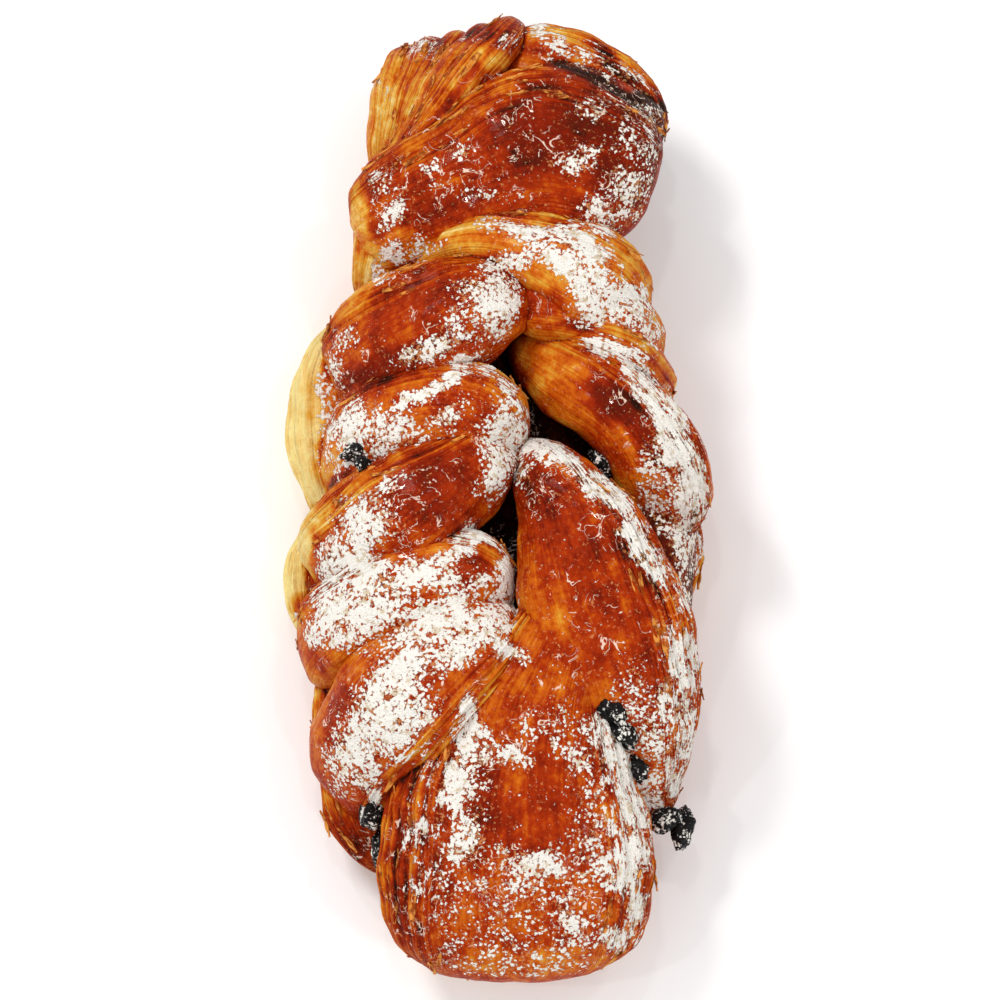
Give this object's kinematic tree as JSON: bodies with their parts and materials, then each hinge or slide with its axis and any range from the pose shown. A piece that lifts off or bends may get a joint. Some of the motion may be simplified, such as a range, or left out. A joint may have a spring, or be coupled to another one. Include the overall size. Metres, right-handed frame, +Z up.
{
  "type": "chocolate chip twist pastry",
  "caption": "Laminated twist pastry: two ropes of crossing folds between broad folded ends, layered flanks, chocolate chips in the creases, flat underside.",
  "frame": {"origin": "on the tray side, under the middle of the pastry's outline", "axes": "+Y along the pastry towards its dark folded end, +X across it towards the rope with the broad smooth fold, +Z up from the tray side"},
  "size_m": [0.074, 0.1688, 0.0378],
  "materials": {
    "crust": "glossy egg-washed crust, dark red-brown on top and golden yellow at the sides",
    "chocolate": "matt dark chocolate",
    "sugar": "matt icing sugar"
  },
  "bodies": {
    "root": {"dough": "crust"}
  },
  "joints": []
}
